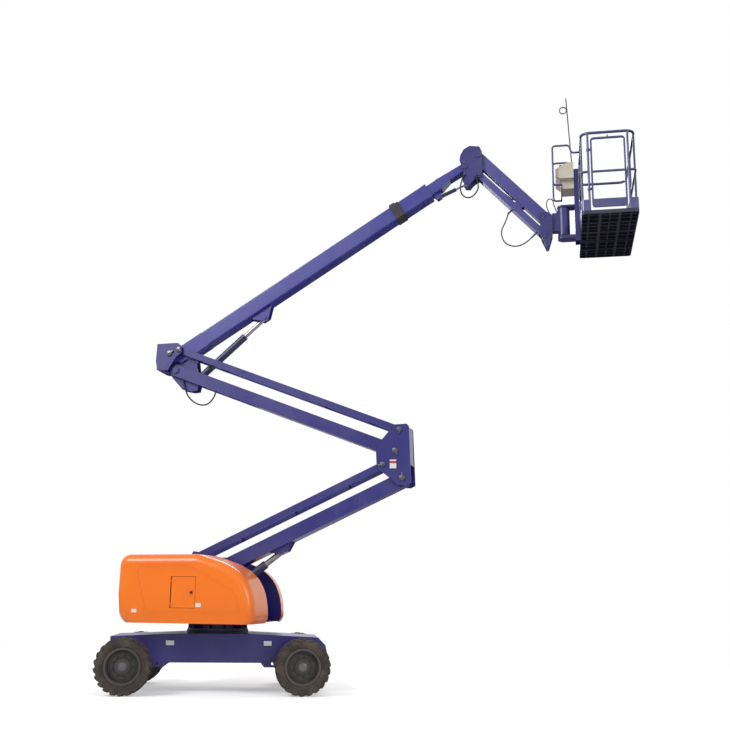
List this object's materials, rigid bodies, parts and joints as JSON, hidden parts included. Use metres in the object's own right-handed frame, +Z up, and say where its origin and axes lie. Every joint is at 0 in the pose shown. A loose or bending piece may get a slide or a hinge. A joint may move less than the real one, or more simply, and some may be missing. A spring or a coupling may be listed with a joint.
{
  "type": "articulated boom lift",
  "caption": "Self-propelled articulated boom lift: four wheels, slewing turret with hoods, double parallelogram riser, telescopic boom, jib and rotating platform.",
  "frame": {"origin": "on the ground under the slew axis of the turret", "axes": "+X along the booms towards the platform, +Z up, -Y towards the camera's side; the chassis is turned 16.7 degrees about +Z under the booms"},
  "size_m": [7.5643, 2.9014, 8.2504],
  "materials": {
    "frame_paint": "satin",
    "arm_paint": "satin",
    "hood_orange": "gloss",
    "dark_steel": "satin",
    "cylinder_steel": "satin",
    "chrome_rod": "polished",
    "cast_weight": "matt",
    "engine_metal": "matt",
    "rim_paint": "satin",
    "tyre_rubber": "matt",
    "grate_metal": "matt",
    "console_plastic": "matt",
    "amber_plastic": "gloss",
    "hose_rubber": "matt"
  },
  "bodies": {
    "chassis": {"chassis_frame": "frame_paint", "drive_axle": "frame_paint", "steer_axle": "frame_paint", "slew_ring": "dark_steel"},
    "steer_near": {"knuckle_near": "frame_paint"},
    "steer_far": {"knuckle_far": "frame_paint"},
    "tie_rod": {"tie_rod": "dark_steel"},
    "steer_wheel_near": {"steer_rim_near": "rim_paint", "steer_tyre_near": "tyre_rubber"},
    "steer_wheel_far": {"steer_rim_far": "rim_paint", "steer_tyre_far": "tyre_rubber"},
    "drive_wheel_near": {"drive_rim_near": "rim_paint", "drive_tyre_near": "tyre_rubber"},
    "drive_wheel_far": {"drive_rim_far": "rim_paint", "drive_tyre_far": "tyre_rubber"},
    "turret": {"turret_frame": "frame_paint", "counterweight": "cast_weight", "engine_block": "engine_metal"},
    "hood_near": {"hood_near": "hood_orange"},
    "hood_far": {"hood_far": "hood_orange", "beacon": "amber_plastic"},
    "access_door": {"access_door": "hood_orange"},
    "lift_barrel": {"lift_barrel": "cylinder_steel"},
    "lift_rod": {"lift_rod": "chrome_rod"},
    "lower_arm": {"lower_arm": "arm_paint"},
    "lower_link": {"lower_link": "arm_paint"},
    "mid_upright": {"mid_upright": "arm_paint"},
    "upper_arm": {"upper_arm": "arm_paint", "hose_knuckle": "hose_rubber"},
    "upper_link": {"upper_link": "arm_paint"},
    "top_knuckle": {"top_knuckle": "arm_paint"},
    "main_boom": {"boom_section": "arm_paint", "boom_collar": "dark_steel"},
    "boom_stage": {"boom_stage": "arm_paint"},
    "main_barrel": {"main_barrel": "cylinder_steel"},
    "main_rod": {"main_rod": "chrome_rod"},
    "level_barrel": {"level_barrel": "cylinder_steel"},
    "level_rod": {"level_rod": "chrome_rod"},
    "gooseneck": {"gooseneck": "arm_paint", "hose_gooseneck": "hose_rubber"},
    "jib_arm": {"jib_arm": "arm_paint"},
    "jib_link": {"jib_link": "arm_paint", "hose_jib": "hose_rubber"},
    "jib_barrel": {"jib_barrel": "cylinder_steel"},
    "jib_rod": {"jib_rod": "chrome_rod"},
    "jib_end": {"jib_end": "arm_paint", "rotator": "frame_paint", "hose_rotator": "hose_rubber"},
    "platform": {"platform_mount": "frame_paint", "platform_floor": "grate_metal", "guard_rail": "frame_paint", "toe_board": "frame_paint", "control_console": "console_plastic", "console_guard": "dark_steel", "wind_mast": "dark_steel"},
    "platform_gate": {"platform_gate": "frame_paint"}
  },
  "joints": [
    {"name": "steer", "type": "hinge", "parent": "chassis", "child": "steer_near", "pos_m": [-0.89077, -0.99807, 0.36], "axis": [0, 0, 1], "range_deg": [-35, 35]},
    {"name": "steer_follow", "type": "hinge", "parent": "chassis", "child": "steer_far", "pos_m": [-1.29307, 0.34288, 0.36], "axis": [0, 0, 1], "range_deg": [-35.07, 35.07]},
    {"name": "tie_rod_pivot", "type": "hinge", "parent": "steer_near", "child": "tie_rod", "pos_m": [-0.6992, -0.94059, 0.29], "axis": [0, 0, 1], "range_deg": [-35.07, 35.07]},
    {"name": "steer_wheel_near_spin", "type": "hinge", "parent": "steer_near", "child": "steer_wheel_near", "pos_m": [-0.81893, -1.23752, 0.36], "axis": [-0.2874, 0.9578, 0], "continuous": true},
    {"name": "steer_wheel_far_spin", "type": "hinge", "parent": "steer_far", "child": "steer_wheel_far", "pos_m": [-1.36491, 0.58234, 0.36], "axis": [-0.2874, 0.9578, 0], "continuous": true},
    {"name": "drive_wheel_near_spin", "type": "hinge", "parent": "chassis", "child": "drive_wheel_near", "pos_m": [1.36491, -0.58234, 0.36], "axis": [-0.2874, 0.9578, 0], "continuous": true},
    {"name": "drive_wheel_far_spin", "type": "hinge", "parent": "chassis", "child": "drive_wheel_far", "pos_m": [0.81893, 1.23752, 0.36], "axis": [-0.2874, 0.9578, 0], "continuous": true},
    {"name": "turret_slew", "type": "hinge", "parent": "chassis", "child": "turret", "pos_m": [0, 0, 0.75], "axis": [0, 0, 1], "range_deg": [-177.5, 177.5]},
    {"name": "hood_near_open", "type": "hinge", "parent": "turret", "child": "hood_near", "pos_m": [-0.3, -0.324, 1.738], "axis": [-1, 0, 0], "range_deg": [0, 55]},
    {"name": "hood_far_open", "type": "hinge", "parent": "turret", "child": "hood_far", "pos_m": [-0.3, 0.324, 1.738], "axis": [1, 0, 0], "range_deg": [0, 55]},
    {"name": "access_door_open", "type": "hinge", "parent": "hood_near", "child": "access_door", "pos_m": [-0.3085, -1.0363, 1.284], "axis": [0, 0, -1], "range_deg": [0, 110]},
    {"name": "riser_lift", "type": "hinge", "parent": "turret", "child": "lower_arm", "pos_m": [-0.0175, 0, 1.5815], "axis": [0, -1, 0], "range_deg": [-17.5, 40]},
    {"name": "lower_link_pivot", "type": "hinge", "parent": "turret", "child": "lower_link", "pos_m": [-0.2875, 0, 1.7695], "axis": [0, -1, 0], "range_deg": [-17.54, 40.08]},
    {"name": "mid_upright_level", "type": "hinge", "parent": "lower_arm", "child": "mid_upright", "pos_m": [2.6, 0, 2.82998], "axis": [0, 1, 0], "range_deg": [-17.54, 40.08]},
    {"name": "upper_arm_lift", "type": "hinge", "parent": "mid_upright", "child": "upper_arm", "pos_m": [2.5, 0, 3.20498], "axis": [0, 1, 0], "range_deg": [-14.9, 34.07]},
    {"name": "upper_link_pivot", "type": "hinge", "parent": "mid_upright", "child": "upper_link", "pos_m": [2.56, 0, 3.49698], "axis": [0, 1, 0], "range_deg": [-14.9, 34.07]},
    {"name": "top_knuckle_level", "type": "hinge", "parent": "upper_arm", "child": "top_knuckle", "pos_m": [-0.75974, 0, 4.44324], "axis": [0, -1, 0], "range_deg": [-14.9, 34.07]},
    {"name": "main_boom_lift", "type": "hinge", "parent": "top_knuckle", "child": "main_boom", "pos_m": [-0.83974, 0, 4.68024], "axis": [0, -1, 0], "range_deg": [-29.5, 42.5]},
    {"name": "boom_extend", "type": "slide", "parent": "main_boom", "child": "boom_stage", "axis": [0.8434, 0, 0.5373], "range_m": [0, 2.1]},
    {"name": "gooseneck_level", "type": "hinge", "parent": "boom_stage", "child": "gooseneck", "pos_m": [3.48337, 0, 7.349], "axis": [0, 1, 0], "range_deg": [-29.56, 42.59]},
    {"name": "jib_raise", "type": "hinge", "parent": "gooseneck", "child": "jib_arm", "pos_m": [3.67037, 0, 7.5], "axis": [0, -1, 0], "range_deg": [-13.2, 108.8]},
    {"name": "jib_link_pivot", "type": "hinge", "parent": "gooseneck", "child": "jib_link", "pos_m": [3.69037, 0, 7.22], "axis": [0, -1, 0], "range_deg": [-13.23, 109.02]},
    {"name": "jib_end_level", "type": "hinge", "parent": "jib_arm", "child": "jib_end", "pos_m": [4.58082, 0, 6.53047], "axis": [0, 1, 0], "range_deg": [-13.23, 109.02]},
    {"name": "platform_rotate", "type": "hinge", "parent": "jib_end", "child": "platform", "pos_m": [4.865, 0, 6.24], "axis": [0, 0, 1], "range_deg": [-80, 80]},
    {"name": "platform_gate_open", "type": "hinge", "parent": "platform", "child": "platform_gate", "pos_m": [5.2, -0.892, 6.76], "axis": [0, 0, 1], "range_deg": [0, 90]},
    {"name": "lift_barrel_pivot", "type": "hinge", "parent": "turret", "child": "lift_barrel", "pos_m": [0.0765, 0, 1.2335], "axis": [0, -1, 0], "range_deg": [-14.53, 33.22]},
    {"name": "lift_rod_slide", "type": "slide", "parent": "lift_barrel", "child": "lift_rod", "axis": [0.7985, 0, 0.602], "range_m": [-0.09119, 0.20844]},
    {"name": "main_barrel_pivot", "type": "hinge", "parent": "top_knuckle", "child": "main_barrel", "pos_m": [-0.55974, 0, 4.23024], "axis": [0, -1, 0], "range_deg": [-26.69, 38.46]},
    {"name": "main_rod_slide", "type": "slide", "parent": "main_barrel", "child": "main_rod", "axis": [0.7413, 0, 0.6712], "range_m": [-0.25198, 0.36302]},
    {"name": "level_barrel_pivot", "type": "hinge", "parent": "boom_stage", "child": "level_barrel", "pos_m": [3.09634, 0, 6.93288], "axis": [0, -1, 0], "range_deg": [-9.41, 13.56]},
    {"name": "level_rod_slide", "type": "slide", "parent": "level_barrel", "child": "level_rod", "axis": [0.915, 0, 0.4034], "range_m": [-0.11892, 0.08254]},
    {"name": "jib_barrel_pivot", "type": "hinge", "parent": "gooseneck", "child": "jib_barrel", "pos_m": [3.69037, 0, 7.22], "axis": [0, -1, 0], "range_deg": [-13.58, 111.91]},
    {"name": "jib_rod_slide", "type": "slide", "parent": "jib_barrel", "child": "jib_rod", "axis": [0.7391, 0, -0.6735], "range_m": [-0.05794, 0.47758]}
  ],
  "couplings": [
    {"joint": "steer_follow", "follows": "steer", "ratio": 1},
    {"joint": "tie_rod_pivot", "follows": "steer", "ratio": -1},
    {"joint": "lower_link_pivot", "follows": "riser_lift", "ratio": 1},
    {"joint": "mid_upright_level", "follows": "riser_lift", "ratio": 1},
    {"joint": "upper_arm_lift", "follows": "riser_lift", "ratio": 0.85},
    {"joint": "upper_link_pivot", "follows": "riser_lift", "ratio": 0.85},
    {"joint": "top_knuckle_level", "follows": "riser_lift", "ratio": 0.85},
    {"joint": "gooseneck_level", "follows": "main_boom_lift", "ratio": 1},
    {"joint": "jib_link_pivot", "follows": "jib_raise", "ratio": 1},
    {"joint": "jib_end_level", "follows": "jib_raise", "ratio": 1},
    {"joint": "lift_barrel_pivot", "follows": "riser_lift", "ratio": 0.82876},
    {"joint": "lift_rod_slide", "follows": "riser_lift", "m_per_rad": 0.29797},
    {"joint": "main_barrel_pivot", "follows": "main_boom_lift", "ratio": 0.90304},
    {"joint": "main_rod_slide", "follows": "main_boom_lift", "m_per_rad": 0.48842},
    {"joint": "level_barrel_pivot", "follows": "main_boom_lift", "ratio": 0.3184},
    {"joint": "level_rod_slide", "follows": "main_boom_lift", "m_per_rad": -0.16},
    {"joint": "jib_barrel_pivot", "follows": "jib_raise", "ratio": 1.0265},
    {"joint": "jib_rod_slide", "follows": "jib_raise", "m_per_rad": 0.251}
  ]
}
